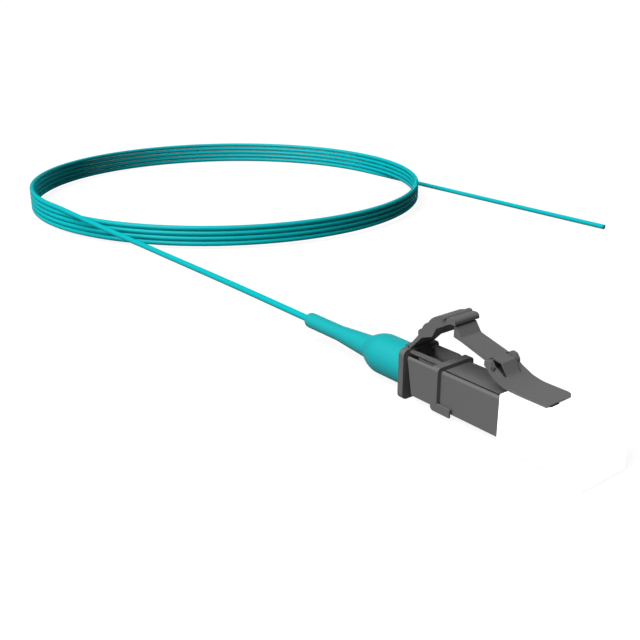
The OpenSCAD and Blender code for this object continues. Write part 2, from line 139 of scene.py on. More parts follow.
class PlugSettings(bpy.types.PropertyGroup):
    """Sizes and colours of the plug, its boot and its cap."""

    edge: FloatProperty(
        name="Edge", description="Width of the round on moulded edges, in millimetres", default=0.07)
    plastic: FloatVectorProperty(
        name="Plastic", description="Colour of the polymer", subtype="COLOR", default=colour("#626262"))
    boot: FloatVectorProperty(
        name="Boot", description="Colour of the boot", subtype="COLOR", default=colour("#04a4a8"))
    cap: FloatVectorProperty(
        name="Cap", description="Colour of the dust cap", subtype="COLOR", default=colour("#f6f6f4"))


class StageSettings(bpy.types.PropertyGroup):
    """Camera and light."""

    lens: FloatProperty(
        name="Lens", description="Focal length of the camera", unit="CAMERA", default=50.087)
    place: FloatVectorProperty(
        name="Place", description="Place of the camera", unit="LENGTH", precision=5,
        default=(0.063244, -0.066571, 0.044325))
    turn: FloatVectorProperty(
        name="Turn", description="Turn of the camera", subtype="EULER", unit="ROTATION",
        default=(math.radians(69.123), 0, math.radians(51.455)))
    power: FloatProperty(
        name="Light", description="Power of the tall softbox", unit="POWER", default=46.0)
    fill: FloatProperty(
        name="Fill", description="Power of the weak light from behind", unit="POWER", default=9.0)
    sky: FloatProperty(
        name="Sky", description="Strength of the even light from all round", default=0.06)


# ---------------------------------------------------------------- shape helpers


# For a pull along each axis: the axes of the outline's two numbers, then the pull's own
AXES = {"x": (1, 2, 0), "y": (0, 2, 1), "z": (0, 1, 2)}
# After a Boolean, points nearer than this are one, and faces that turn less than this are one
WELD = 0.001
FLAT = math.radians(0.5)
# Edges that turn more than this are rounded
SHARP = math.radians(35)


def rounded(points, step=12):
    """An outline whose corners that hold a third number are rounded to that radius.

    The round is drawn in steps of that many degrees at the most.
    """
    outline = []
    for i, corner in enumerate(points):
        here = Vector(corner[:2])
        if len(corner) < 3:
            outline.append(tuple(here))
            continue
        before = (Vector(points[i - 1][:2]) - here).normalized()
        after = (Vector(points[(i + 1) % len(points)][:2]) - here).normalized()
        opening = before.angle(after)
        centre = here + (before + after).normalized() * corner[2] / math.sin(opening / 2)
        arm = here + before * corner[2] / math.tan(opening / 2) - centre
        turn = math.pi - opening
        if before.cross(after) > 0:
            turn = -turn
        count = max(2, math.ceil(abs(math.degrees(turn)) / step))
        for k in range(count + 1):
            outline.append(tuple(centre + Matrix.Rotation(turn * k / count, 2) @ arm))
    return outline


def bow(start, end, height, count=6):
    """An arc from start to just before end, which bulges that far to the left of the way."""
    start, end = Vector(start), Vector(end)
    half = (end - start) / 2
    radius = (half.length_squared + height ** 2) / (2 * height)
    left = Vector((-half.y, half.x)).normalized()
    centre = start + half + left * (height - radius)
    sweep = 2 * math.asin(min(1, half.length / radius))
    arm = start - centre
    return [tuple(centre + Matrix.Rotation(-sweep * k / count, 2) @ arm) for k in range(count)]


def prism(outline, axis, low, high):
    """A closed solid: an outline in the other two axes, pulled from low to high along one axis."""
    first, second, along = AXES[axis]
    bm = bmesh.new()
    ends = []
    for level in (low, high):
        ring = []
        for a, b in outline:
            point = [0.0, 0.0, 0.0]
            point[first], point[second], point[along] = a, b, level
            ring.append(bm.verts.new(point))
        ends.append(ring)
        bm.faces.new(ring)
    for i in range(len(outline)):
        j = (i + 1) % len(outline)
        bm.faces.new((ends[0][i], ends[0][j], ends[1][j], ends[1][i]))
    bmesh.ops.recalc_face_normals(bm, faces=bm.faces)
    return bm


def block(x0, x1, y0, y1, z0, z1):
    """A box between two corners."""
    return prism([(x0, y0), (x1, y0), (x1, y1), (x0, y1)], "z", z0, z1)


def lathe(profile, sides=64):
    """A solid turned round the X axis, from a closed profile of stations and radii; radius 0 is a pole."""
    bm = bmesh.new()
    rings = []
    for x, radius in profile:
        if radius < 1e-6:
            rings.append([bm.verts.new((x, 0, 0))])
            continue
        angles = [2 * math.pi * i / sides for i in range(sides)]
        rings.append([bm.verts.new((x, radius * math.cos(a), radius * math.sin(a))) for a in angles])
    for here, there in zip(rings, rings[1:] + rings[:1]):
        if len(here) == 1 and len(there) == 1:
            continue
        for i in range(sides):
            j = (i + 1) % sides
            corners = [ring[k % len(ring)] for ring, k in ((here, i), (here, j), (there, j), (there, i))]
            bm.faces.new(tuple(dict.fromkeys(corners)))
    bmesh.ops.recalc_face_normals(bm, faces=bm.faces)
    return bm


def rod(x0, x1, radius, sides=48):
    """A round rod along X."""
    return lathe([(x0, 0), (x0, radius), (x1, radius), (x1, 0)], sides)


def mirrored(make):
    """The solid that make() gives, and its mirror image across the plug's middle."""
    right = make()
    left = make()
    bmesh.ops.scale(left, vec=(1, -1, 1), verts=left.verts)
    bmesh.ops.reverse_faces(left, faces=left.faces)
    return right, left


def as_object(name, bm):
    """An object in the scene that holds the mesh, which is used up."""
    mesh = bpy.data.meshes.new(name)
    bm.to_mesh(mesh)
    bm.free()
    obj = bpy.data.objects.new(name, mesh)
    bpy.context.scene.collection.objects.link(obj)
    return obj


def baked(obj):
    """A mesh of the object with its modifiers worked in; the object is removed."""
    bpy.context.view_layer.update()
    graph = bpy.context.evaluated_depsgraph_get()
    mesh = bpy.data.meshes.new_from_object(obj.evaluated_get(graph), depsgraph=graph)
    bpy.data.objects.remove(obj)
    return mesh


def combine(base, steps):
    """The base solid after each step, a word of the Boolean modifier and a solid."""
    main = as_object("base", base)
    others = []
    for word, solid in steps:
        other = as_object("tool", solid)
        boolean = main.modifiers.new("Boolean", "BOOLEAN")
        boolean.operation = word
        boolean.solver = "EXACT"
        boolean.object = other
        others.append(other)
    mesh = baked(main)
    for other in others:
        bpy.data.objects.remove(other)
    bm = bmesh.new()
    bm.from_mesh(mesh)
    bpy.data.meshes.remove(mesh)
    bmesh.ops.remove_doubles(bm, verts=bm.verts, dist=WELD)
    bmesh.ops.dissolve_limit(bm, angle_limit=FLAT, verts=bm.verts, edges=bm.edges)
    return bm


def fuse(*solids):
    """One solid from several that overlap."""
    return combine(solids[0], [("UNION", solid) for solid in solids[1:]])


def moulded(name, bm, width):
    """A placed object from a solid in the plug's millimetres, with edges rounded to that width."""
    bmesh.ops.recalc_face_normals(bm, faces=bm.faces)
    for face in bm.faces:
        face.smooth = True
    rough = as_object(name, bm)
    if width:
        bevel = rough.modifiers.new("Bevel", "BEVEL")
        bevel.width = width
        bevel.segments = 3
        bevel.limit_method = "ANGLE"
        bevel.angle_limit = SHARP
        bevel.use_clamp_overlap = True
    rough.modifiers.new("Normals", "WEIGHTED_NORMAL").keep_sharp = True
    mesh = baked(rough)
    mesh.transform(PLACE)
    mesh.name = name
    obj = bpy.data.objects.new(name, mesh)
    bpy.context.scene.collection.objects.link(obj)
    return obj


# ---------------------------------------------------------------- materials


def add_node(tree, kind, inputs=(), **settings):
    """A node of one kind, with its settings and its inputs' values or links."""
    node = tree.nodes.new(kind)
    for key, value in settings.items():
        setattr(node, key, value)
    for key, value in dict(inputs).items():
        if isinstance(value, bpy.types.NodeSocket):
            tree.links.new(value, node.inputs[key])
        else:
            node.inputs[key].default_value = value
    return node


def new_material(name):
    """An empty material with its output, its shader and object coordinates."""
    material = bpy.data.materials.new(name)
    material.use_nodes = True
    tree = material.node_tree
    tree.nodes.clear()
    shader = add_node(tree, "ShaderNodeBsdfPrincipled")
    add_node(tree, "ShaderNodeOutputMaterial", {"Surface": shader.outputs["BSDF"]})
    coordinates = add_node(tree, "ShaderNodeTexCoord")
    return material, tree, shader, coordinates.outputs["Object"]


def grain(tree, shader, place, size_mm, depth_mm, strength):
    """A fine bump whose grains have that size in millimetres."""
    noise = add_node(tree, "ShaderNodeTexNoise", {
        "Vector": place, "Scale": 1000 / size_mm, "Detail": 2.0, "Roughness": 0.6})
    bump = add_node(tree, "ShaderNodeBump", {
        "Height": noise.outputs["Fac"], "Distance": depth_mm * MM, "Strength": strength})
    tree.links.new(bump.outputs["Normal"], shader.inputs["Normal"])
    return noise.outputs["Fac"]


def uneven(tree, shader, source, name, low, high):
    """Lets an input of the shader wander between two values with a noise."""
    span = add_node(tree, "ShaderNodeMapRange", {"Value": source, "To Min": low, "To Max": high})
    tree.links.new(span.outputs["Result"], shader.inputs[name])


def glow(tree, shader, strength):
    """A white glow that only the camera sees, so it lights nothing; on the cap it is painted light."""
    path = add_node(tree, "ShaderNodeLightPath")
    seen = add_node(tree, "ShaderNodeMath", {
        0: path.outputs["Is Camera Ray"], 1: strength}, operation="MULTIPLY")
    shader.inputs["Emission Color"].default_value = (1, 1, 1, 1)
    tree.links.new(seen.outputs["Value"], shader.inputs["Emission Strength"])


def black_plastic():
    """Black glass-filled polymer from a spark-eroded mould: dull, with a grey sheen on rounded edges."""
    material, tree, shader, place = new_material("black_plastic")
    shader.inputs["Base Color"].default_value = (*bpy.context.scene.plug.plastic, 1)
    shader.inputs["IOR"].default_value = 1.5
    # The real grain is about 0.02 mm; it is drawn at 0.12 mm, so that it shows as a soft unevenness
    source = grain(tree, shader, place, size_mm=0.12, depth_mm=0.004, strength=0.35)
    uneven(tree, shader, source, "Roughness", low=0.46, high=0.6)
    return material


def insert_plastic():
    """The same polymer from a smoother mould, as on the hidden rear body: dark grey with a satin sheen."""
    material, tree, shader, place = new_material("insert_plastic")
    shader.inputs["Base Color"].default_value = (*colour("#3c3c3e"), 1)
    source = grain(tree, shader, place, size_mm=0.2, depth_mm=0.004, strength=0.3)
    uneven(tree, shader, source, "Roughness", low=0.4, high=0.52)
    return material


def boot_rubber():
    """Soft coloured elastomer: matt, with a light rim where its surface turns away."""
    material, tree, shader, place = new_material("boot_rubber")
    shader.inputs["Base Color"].default_value = (*bpy.context.scene.plug.boot, 1)
    shader.inputs["Specular IOR Level"].default_value = 0.3
    shader.inputs["Sheen Weight"].default_value = 0.06
    source = grain(tree, shader, place, size_mm=0.35, depth_mm=0.004, strength=0.25)
    uneven(tree, shader, source, "Roughness", low=0.5, high=0.62)
    return material


def jacket_plastic():
    """Extruded cable jacket: an even aqua with a soft gloss along its length."""
    material, tree, shader, place = new_material("jacket")
    shader.inputs["Base Color"].default_value = (*bpy.context.scene.cord.jacket, 1)
    shader.inputs["Specular IOR Level"].default_value = 0.15
    source = grain(tree, shader, place, size_mm=0.5, depth_mm=0.004, strength=0.2)
    uneven(tree, shader, source, "Roughness", low=0.4, high=0.5)
    return material


def cap_plastic():
    """Milky low-density polyethylene: white, with light that sinks in a little, and a painted glow that
    keeps every side white.
    """
    material, tree, shader, place = new_material("cap_plastic")
    shader.inputs["Base Color"].default_value = (*bpy.context.scene.plug.cap, 1)
    shader.inputs["Subsurface Weight"].default_value = 0.35
    shader.inputs["Subsurface Radius"].default_value = (1, 1, 1)
    shader.inputs["Subsurface Scale"].default_value = 0.8 * MM
    # Painted light: a glow that only the camera sees, so that no side of the cap turns grey where it is in
    # shade
    glow(tree, shader, strength=0.88)
    source = grain(tree, shader, place, size_mm=0.4, depth_mm=0.004, strength=0.2)
    uneven(tree, shader, source, "Roughness", low=0.45, high=0.55)
    return material


def ceramic():
    """Polished zirconia: bright white, hard and glossy."""
    material, tree, shader, place = new_material("zirconia")
    shader.inputs["Base Color"].default_value = (*colour("#f3f2ea"), 1)
    shader.inputs["IOR"].default_value = 2.1
    shader.inputs["Subsurface Weight"].default_value = 0.1
    shader.inputs["Subsurface Scale"].default_value = 0.3 * MM
    source = grain(tree, shader, place, size_mm=0.3, depth_mm=0.001, strength=0.1)
    uneven(tree, shader, source, "Roughness", low=0.06, high=0.12)
    return material


def metal(name, code, rough):
    """Turned metal: its rings catch the light."""
    material, tree, shader, place = new_material(name)
    shader.inputs["Base Color"].default_value = (*colour(code), 1)
    shader.inputs["Metallic"].default_value = 1.0
    stretched = add_node(tree, "ShaderNodeMapping", {"Vector": place, "Scale": (1.0, 0.1, 0.1)})
    source = grain(tree, shader, stretched.outputs["Vector"], size_mm=0.15, depth_mm=0.003, strength=0.3)
    uneven(tree, shader, source, "Roughness", low=rough, high=rough + 0.12)
    return material


def clear(name, code, weight):
    """Glass or its clear coating: light passes and bends, with a sharp glint."""
    material, tree, shader, place = new_material(name)
    shader.inputs["Base Color"].default_value = (*colour(code), 1)
    shader.inputs["Transmission Weight"].default_value = weight
    shader.inputs["IOR"].default_value = 1.46
    source = grain(tree, shader, place, size_mm=0.3, depth_mm=0.001, strength=0.1)
    uneven(tree, shader, source, "Roughness", low=0.04, high=0.1)
    return material


def guide_plastic():
    """Natural fluoropolymer tube: off-white and waxy."""
    material, tree, shader, place = new_material("guide_plastic")
    shader.inputs["Base Color"].default_value = (*colour("#efece2"), 1)
    source = grain(tree, shader, place, size_mm=0.3, depth_mm=0.003, strength=0.2)
    uneven(tree, shader, source, "Roughness", low=0.35, high=0.45)
    return material


# What makes the material of each slot
MATERIALS = {
    "black_plastic": black_plastic,
    "insert_plastic": insert_plastic,
    "boot_rubber": boot_rubber,
    "jacket": jacket_plastic,
    "cap_plastic": cap_plastic,
    "zirconia": ceramic,
    "flange_metal": lambda: metal("flange_metal", "#c9c3b2", rough=0.2),
    "key_metal": lambda: metal("key_metal", "#a6a6aa", rough=0.28),
    "spring_steel": lambda: metal("spring_steel", "#b9b9bd", rough=0.2),
    "glass": lambda: clear("glass", "#eaf6f8", weight=0.9),
    "fibre_coating": lambda: clear("fibre_coating", "#a9d3ea", weight=0.5),
    "guide_plastic": guide_plastic,
}
# The materials made so far, by slot
FINISHES = {}


def finish_of(slot):
    """The material of a slot, made once."""
    if slot not in FINISHES:
        FINISHES[slot] = MATERIALS[slot]()
    return FINISHES[slot]


def dress(obj, slot, body, *nodes):
    """Gives a piece its material, its body and the CAD nodes that it stands for."""
    obj.data.materials.clear()
    obj.data.materials.append(finish_of(slot))
    if nodes:
        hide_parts(*nodes)
    if body:
        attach(obj, body)
    return obj


# ---------------------------------------------------------------- stage


class CORD_OT_stage(bpy.types.Operator):
    """Set the camera, the pale floor and the light"""

    bl_idname = "cord.stage"
    bl_label = "Stage"

    def execute(self, context):
        scene = context.scene
        settings = scene.stage
        scene.view_settings.view_transform = "Standard"
        lens = bpy.data.cameras.new("camera")
        lens.lens = settings.lens
        lens.sensor_width = 36.0
        lens.clip_start = 0.005
        camera = bpy.data.objects.new("camera", lens)
        camera.location = settings.place
        camera.rotation_euler = settings.turn
        scene.collection.objects.link(camera)
        scene.camera = camera
        front = self.lamp("softbox", place=(0.08, -1.02, 1.23), width=0.8, height=2.0,
                          power=settings.power)
        # The weak light from behind fills the far faces and gives no glare
        behind = self.lamp("fill_light", place=(-0.8, 0.9, 0.17), width=0.8, height=0.3,
                           power=settings.fill)
        behind.visible_glossy = False
        self.floor()
        scene.world = self.sky(settings.sky)
        return {"FINISHED"}

    def sky(self, even):
        """A weak even light, which the camera sees as plain white behind the floor's edge"""
        world = bpy.data.worlds.new("world")
        world.use_nodes = True
        tree = world.node_tree
        back = tree.nodes["Background"]
        back.inputs["Color"].default_value = (1, 1, 1, 1)
        seen = add_node(tree, "ShaderNodeLightPath")
        strength = add_node(tree, "ShaderNodeMapRange", {
            "Value": seen.outputs["Is Camera Ray"], "To Min": even, "To Max": 1.0})
        tree.links.new(strength.outputs["Result"], back.inputs["Strength"])
        return world

    def floor(self):
        """A wide pale floor just under the cable"""
        half, thick, drop = 6, 0.02, 0.00002
        obj = as_object("floor", block(-half, half, -half, half, -thick, -drop))
        material, tree, shader, place = new_material("floor")
        shader.inputs["Base Color"].default_value = (0.15, 0.15, 0.15, 1)
        shader.inputs["Specular IOR Level"].default_value = 0.0
        # It burns out to white round the object, and wholly so where the softbox no longer reaches
        far = add_node(tree, "ShaderNodeVectorMath", {0: place}, operation="LENGTH")
        white = add_node(tree, "ShaderNodeMapRange", {
            "Value": far.outputs["Value"], "From Min": 0.15, "From Max": 0.4,
            "To Min": 0.88, "To Max": 1.0})
        glow(tree, shader, white.outputs["Result"])
        obj.data.materials.append(material)
        return obj

    def lamp(self, name, place, width, height, power):
        """A soft light, in metres, that is turned to the frame's origin"""
        light = bpy.data.lights.new(name, "AREA")
        light.shape = "RECTANGLE"
        light.size = width
        light.size_y = height
        light.energy = power
        obj = bpy.data.objects.new(name, light)
        obj.location = place
        obj.rotation_euler = Vector(place).to_track_quat("Z", "Y").to_euler()
        bpy.context.scene.collection.objects.link(obj)
        return obj


# ---------------------------------------------------------------- cord


def smooth_curve(p0, p1, p2, p3, t):
    """A point on the smooth curve through p1 and p2, with neighbours p0 and p3."""
    return 0.5 * (2 * p1 + (p2 - p0) * t + (2 * p0 - 5 * p1 + 4 * p2 - p3) * t ** 2
                  + (3 * p1 - p0 - 3 * p2 + p3) * t ** 3)


def filled(route, step):
    """A route of chosen points filled in with points about one step apart."""
    line = []
    for i in range(len(route) - 1):
        count = max(1, round((route[i + 1] - route[i]).length / step))
        ends = (route[max(i - 1, 0)], route[i], route[i + 1], route[min(i + 2, len(route) - 1)])
        line += [smooth_curve(*ends, k / count) for k in range(count)]
    return line + [route[-1]]


def cable_line():
    """The cable's middle line, from the boot's end round the coil to the cut end."""
    settings = bpy.context.scene.cord
    radius = settings.coil_r
    low = settings.cable_d / 2
    middle = Vector((-99.4, 37.4, 0))
    start = math.radians(-87.2)
    sweep = 2 * math.pi * settings.turns
    points_per_turn = 120
    count = math.ceil(points_per_turn * settings.turns)
    step = 1.5

    def coil_point(turn):
        height = low + settings.pitch * (sweep - turn) / (2 * math.pi)
        angle = start - turn
        return middle + Vector((radius * math.cos(angle), radius * math.sin(angle), height))

    def coil_dir(turn):
        return Vector((math.sin(start - turn), -math.cos(start - turn), 0))

    coil = [coil_point(sweep * k / count) for k in range(count + 1)]
    # Straight starts on both sides of the coil, so that the route leaves it along its own line
    coil_in = coil[0] - settings.cable_d * coil_dir(0)
    coil_out = coil[-1] + settings.cable_d * coil_dir(sweep)
    boot_end = Vector((BOOT_LOW.x, 0, AXIS_Z))
    lead = [boot_end, boot_end - Vector((2, 0, 0)), Vector((-40, -0.6, 3.37)), Vector((-60, -1.6, 3.8)),
            Vector((-80, -2.6, 4.24)), coil_in - 2 * coil_dir(0), coil_in]
    tail = [coil_out, coil_out + 2 * coil_dir(sweep), Vector((-75, 78.3, low)), Vector((-50, 78.3, low)),
            Vector((-31.9, 78.4, low))]
    return filled(lead, step) + coil + filled(tail, step)


def tube_nodes():
    """Geometry nodes that turn a line of points into a capped tube."""
    tree = bpy.data.node_groups.new("cable_tube", "GeometryNodeTree")
    face = tree.interface
    face.new_socket("Line", in_out="INPUT", socket_type="NodeSocketGeometry")
    face.new_socket("Diameter", in_out="INPUT", socket_type="NodeSocketFloat")
    face.new_socket("Sides", in_out="INPUT", socket_type="NodeSocketInt")
    face.new_socket("Material", in_out="INPUT", socket_type="NodeSocketMaterial")
    face.new_socket("Tube", in_out="OUTPUT", socket_type="NodeSocketGeometry")
    given = add_node(tree, "NodeGroupInput").outputs
    radius = add_node(tree, "ShaderNodeMath", {0: given["Diameter"], 1: 0.5}, operation="MULTIPLY")
    curve = add_node(tree, "GeometryNodeMeshToCurve", {"Mesh": given["Line"]})
    ring = add_node(tree, "GeometryNodeCurvePrimitiveCircle", {
        "Resolution": given["Sides"], "Radius": radius.outputs["Value"]})
    tube = add_node(tree, "GeometryNodeCurveToMesh", {
        "Curve": curve.outputs["Curve"], "Profile Curve": ring.outputs["Curve"], "Fill Caps": True})
    smooth = add_node(tree, "GeometryNodeSetShadeSmooth", {"Geometry": tube.outputs["Mesh"]})
    real = add_node(tree, "GeometryNodeRealizeInstances", {"Geometry": smooth.outputs["Geometry"]})
    painted = add_node(tree, "GeometryNodeSetMaterial", {
        "Geometry": real.outputs["Geometry"], "Material": given["Material"]})
    add_node(tree, "NodeGroupOutput", {"Tube": painted.outputs["Geometry"]})
    return tree


def set_inputs(modifier, **values):
    """Sets the named inputs of a node modifier by their sockets' identifiers."""
    for item in modifier.node_group.interface.items_tree:
        if item.in_out == "INPUT" and item.name in values:
            modifier[item.identifier] = values[item.name]


def tube_along(name, line, diameter, sides, slot):
    """A round tube along a line of points, made by the geometry nodes."""
    mesh = bpy.data.meshes.new("line")
    mesh.from_pydata(line, [(i, i + 1) for i in range(len(line) - 1)], [])
    guide = bpy.data.objects.new("line", mesh)
    bpy.context.scene.collection.objects.link(guide)
    modifier = guide.modifiers.new("tube", "NODES")
    modifier.node_group = tube_nodes()
    set_inputs(modifier, Diameter=diameter, Sides=sides, Material=finish_of(slot))
    tube = bpy.data.objects.new(name, baked(guide))
    tube.data.name = name
    bpy.context.scene.collection.objects.link(tube)
    return tube


class CORD_OT_cable(bpy.types.Operator):
    """Lay the free cable: lead, coil and tail in one tube"""

    bl_idname = "cord.cable"
    bl_label = "Cable"

    def execute(self, context):
        settings = context.scene.cord
        line = [point * MM for point in cable_line()]
        cable = tube_along("cable", line, settings.cable_d * MM, settings.sides, "jacket")
        dress(cable, "jacket", "connector", "lead", "coil", "tail")
        end = self.cut_end(line[-1])
        return {"FINISHED"}

    def cut_end(self, place):
        """The coated fibre that shows in the middle of the cut face"""
        radius, depth, proud = 0.125, 0.5, 0.02
        bm = lathe([(-depth, 0), (-depth, radius), (0, radius), (proud, radius - 0.015), (proud, 0)], 24)
        for face in bm.faces:
            face.smooth = True
        bmesh.ops.scale(bm, vec=(MM, MM, MM), verts=bm.verts)
        bmesh.ops.translate(bm, vec=place, verts=bm.verts)
        return dress(as_object("cut_fibre", bm), "fibre_coating", "connector")


# ---------------------------------------------------------------- plug


class CORD_OT_boot(bpy.types.Operator):
    """Turn the bend relief boot"""

    bl_idname = "cord.boot"
    bl_label = "Boot"

    def execute(self, context):
        collar_r, sleeve_r, end_r = 2.45, 1.44, 1.0
        collar_len, shoulder_len, taper_len = 5, 2.75, 5.75
        tip_r, tip_len = 0.45, 0.6
        bore, cavity_r, cavity_end = 0.47, NECK_R + 0.14, -18.5
        shoulder_start = FRAME_BACK - collar_len
        end_start = shoulder_start - shoulder_len - taper_len
        # The shoulder falls as a quarter of a wave
        count = 16
        shoulder = [(shoulder_start - shoulder_len * i / count,
                     sleeve_r + (collar_r - sleeve_r) * math.cos(math.pi / 2 * i / count))
                    for i in range(count + 1)]
        tip = [(BOOT_TIP + tip_len * (1 - math.sin(math.radians(a))),
                end_r - tip_r * (1 - math.cos(math.radians(a)))) for a in range(0, 91, 15)]
        outside = [(FRAME_BACK, collar_r - 0.2), (FRAME_BACK - 0.06, collar_r - 0.06),
                   (FRAME_BACK - 0.2, collar_r), *shoulder, (end_start, end_r), *tip]
        inside = [(BOOT_TIP, bore + 0.04), (BOOT_TIP + 0.05, bore), (cavity_end, bore),
                  (cavity_end, cavity_r), (FRAME_BACK, cavity_r)]
        boot = moulded("boot_skin", lathe(outside + inside, 96), 0)
        dress(boot, "boot_rubber", "connector", "boot")
        return {"FINISHED"}


class CORD_OT_housing(bpy.types.Operator):
    """Mould the plug body with its bores, grooves and top pocket"""

    bl_idname = "cord.housing"
    bl_label = "Housing"

    def execute(self, context):
        half = NOSE_HALF
        back, back_slant = FRAME_FRONT + 0.05, 0.85
        stop_front, stop_back = NOSE_LEN - 5.5, -0.6
        groove_in, groove_out, groove_floor = 1.63, 1.87, half - 0.7
        section = rounded([
            (-half, -half, 0.12), (half, -half, 0.12), (half, half, 0.1), (-half, half, 0.3)])
        slant = prism([(back - 1, half + 1), (back, half), (back + back_slant, -half),
                       (back - 1, -half - 1)], "y", -half - 1, half + 1)
        mouth = lathe([(NOSE_LEN - 0.2, 0), (NOSE_LEN - 0.2, MOUTH_R), (NOSE_LEN + 0.2, MOUTH_R + 0.4),
                       (NOSE_LEN + 0.2, 0)])
        pocket = block(back - 1, HOOP_BACK + 0.1, -1.35, 1.35, 1.5, half + 1)
        cuts = [slant, rod(stop_front, NOSE_LEN + 1, MOUTH_R), rod(back - 1, stop_back, CHAMBER_R),
                rod(-1, 1, FERRULE_R + 0.05), mouth, pocket]
        # The groove is narrower at the surface than under it, so it reads as a dark line
        cuts += mirrored(lambda: block(
            HOOP_FRONT, CAP_REAR, groove_in, groove_out, groove_floor, half + 0.2))
        cuts += mirrored(lambda: block(HOOP_FRONT, CAP_REAR, 0.7, groove_out, groove_floor, half - 0.02))
        # Shallow slots beside the pocket, and the sloped rear ends of its walls
        cuts += mirrored(lambda: block(back - 1, HOOP_BACK, 1.5, 2.0, 1.85, half + 0.2))
        cuts += mirrored(lambda: prism([
            (back - 1, 0.4), (-11.05, 0.4), (-12.43, half + 0.35), (back - 1, half + 0.35)],
            "y", 1.3, 1.95))
        # The block that carries the tongue
        root = block(NOSE_LEN - 1.9, NOSE_LEN - 0.95, -1, 1, half - 0.2, half + 0.9)
        steps = [*[("DIFFERENCE", solid) for solid in cuts], ("UNION", root)]
        body = combine(prism(section, "x", back, NOSE_LEN), steps)
        housing = moulded("housing", body, context.scene.plug.edge * 0.5)
        dress(housing, "black_plastic", "connector", "plug_body")
        return {"FINISHED"}


class CORD_OT_latch(bpy.types.Operator):
    """Mould the tongue and the latch as one piece, with the thin line at which the real latch bends"""

    bl_idname = "cord.latch"
    bl_label = "Latch"

    def execute(self, context):
        gap, thick = 0.8, 0.4
        base = NOSE_HALF + gap
        top = base + thick
        half, arm_half, hump_half, void_half = 2.14, 1.5, 1.0, 1.3
        front = NOSE_LEN - 0.05
        tail_x, tail_top = LATCH_LOW.x - SHIFT_X, LATCH_TOP + 0.17
        # Tongue and ramp, as wide as the shoulders
        wide = prism(rounded([
            (front - 0.3, base), (front, top - 0.1), (front, top), (2.0, top, 4), (0.65, top + 0.25, 3),
            (-0.9, top + 0.95, 1), (-1.3, top + 1.3), (-1.3, top + 0.75), (-0.9, top + 0.4, 1),
            (0.65, top - 0.25, 3), (2.0, base, 4)], 6), "y", -half, half)
        corners = prism(rounded([
            (-3, -half), (front, -half, 0.12), (front, half, 0.9), (-3, half)]), "z", 0, 9)
        # The middle sheet: a hollow hump between the shoulders, then the arm up to the raised tail
        sheet = prism(rounded([
            (0.35, top + 0.3), (-0.25, top + 0.85), (-0.88, top + 1.87, 0.2), (-2.1, top + 2.05),
            (-3.0, top + 2.25), (-3.0, top + 1.8), (-1.3, top + 0.8), (0.2, top + 0.1)], 8),
            "y", -hump_half, hump_half)
        under = prism([
            (0.3, top - 0.35), (-0.4, top - 0.35), (-1.45, top - 0.1), (-2.3, top + 0.7),
            (-2.75, top + 1.55), (-2.1, top + 1.9), (-1.1, top + 1.2), (-0.6, top + 0.75),
            (0.3, top + 0.35)], "y", -arm_half, arm_half)
        arm = prism(rounded([
            (-2.1, top + 2.05), (-6.0, top + 3.05, 0.5), (tail_x + 0.35, tail_top, 0.05),
            (tail_x, tail_top, 0.08), (tail_x, top + 2.85, 0.1), (-6.0, top + 2.6, 1),
            (-2.1, top + 1.5)], 10), "y", -arm_half, arm_half)
        shoulders = mirrored(lambda: prism(rounded([
            (-2.25, top + 1.5), (-2.25, top + 1.98), (-2.0, top + 2.1, 0.15), (-1.5, top + 2.0, 0.3),
            (-1.12, top + 1.5, 0.2), (-1.1, top + 1.1, 0.1), (-0.7, top + 0.8), (-1.3, top + 0.7)]),
            "y", 1.66, half))
        # Lower steps join each shoulder to the hump, over a hollow that is open at the hump's sides
        steps = mirrored(lambda: prism([
            (-2.25, top + 1.5), (-2.25, top + 1.95), (-1.85, top + 2.0), (-1.4, top + 1.44),
            (-0.83, top + 1.06), (0.1, top + 0.45), (-0.2, top + 0.3), (-1.3, top + 0.7)],
            "y", void_half, 1.7))
        void = prism([
            (-2.05, top + 1.9), (-1.0, top + 1.72), (-0.72, top + 1.35), (-0.15, top + 0.64),
            (-0.25, top - 0.15), (-1.4, top + 0.1), (-2.05, top + 0.75)], "y", -void_half, void_half)
        # The tongue's lower edges are cut away at a slant, so only a thin edge shows
        slants = mirrored(lambda: prism([
            (half + 0.1, top - 0.05), (half - 0.02, top - 0.1), (half - 0.35, base - 0.1),
            (half + 0.1, base - 0.1)], "x", 0.1, front + 0.1))
        creases = mirrored(lambda: block(-2.14, -2.08, 0.95, 2.05, top + 1.93, top + 2.2))
        slits = mirrored(lambda: block(-1.33, -1.21, 1.9, half + 0.1, top + 1.22, top + 1.6))
        body = combine(wide, [
            ("INTERSECT", corners), ("UNION", sheet), ("UNION", arm), ("UNION", under),
            *[("UNION", solid) for solid in (*shoulders, *steps)],
            *[("DIFFERENCE", solid) for solid in (void, *slants, *creases, *slits)]])
        # Cuts across the thin line, which split the sheet there into small steps
        for x in (0.9, 1.05, 1.2, 1.35, 1.5):
            bmesh.ops.bisect_plane(body, geom=body.verts[:] + body.edges[:] + body.faces[:],
                                   plane_co=(x, 0, 0), plane_no=(1, 0, 0))
        latch = moulded("latch_arm_and_tongue", body, context.scene.plug.edge * 0.6)
        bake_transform(latch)
        dress(latch, "black_plastic", None, "latch")
        return {"FINISHED"}


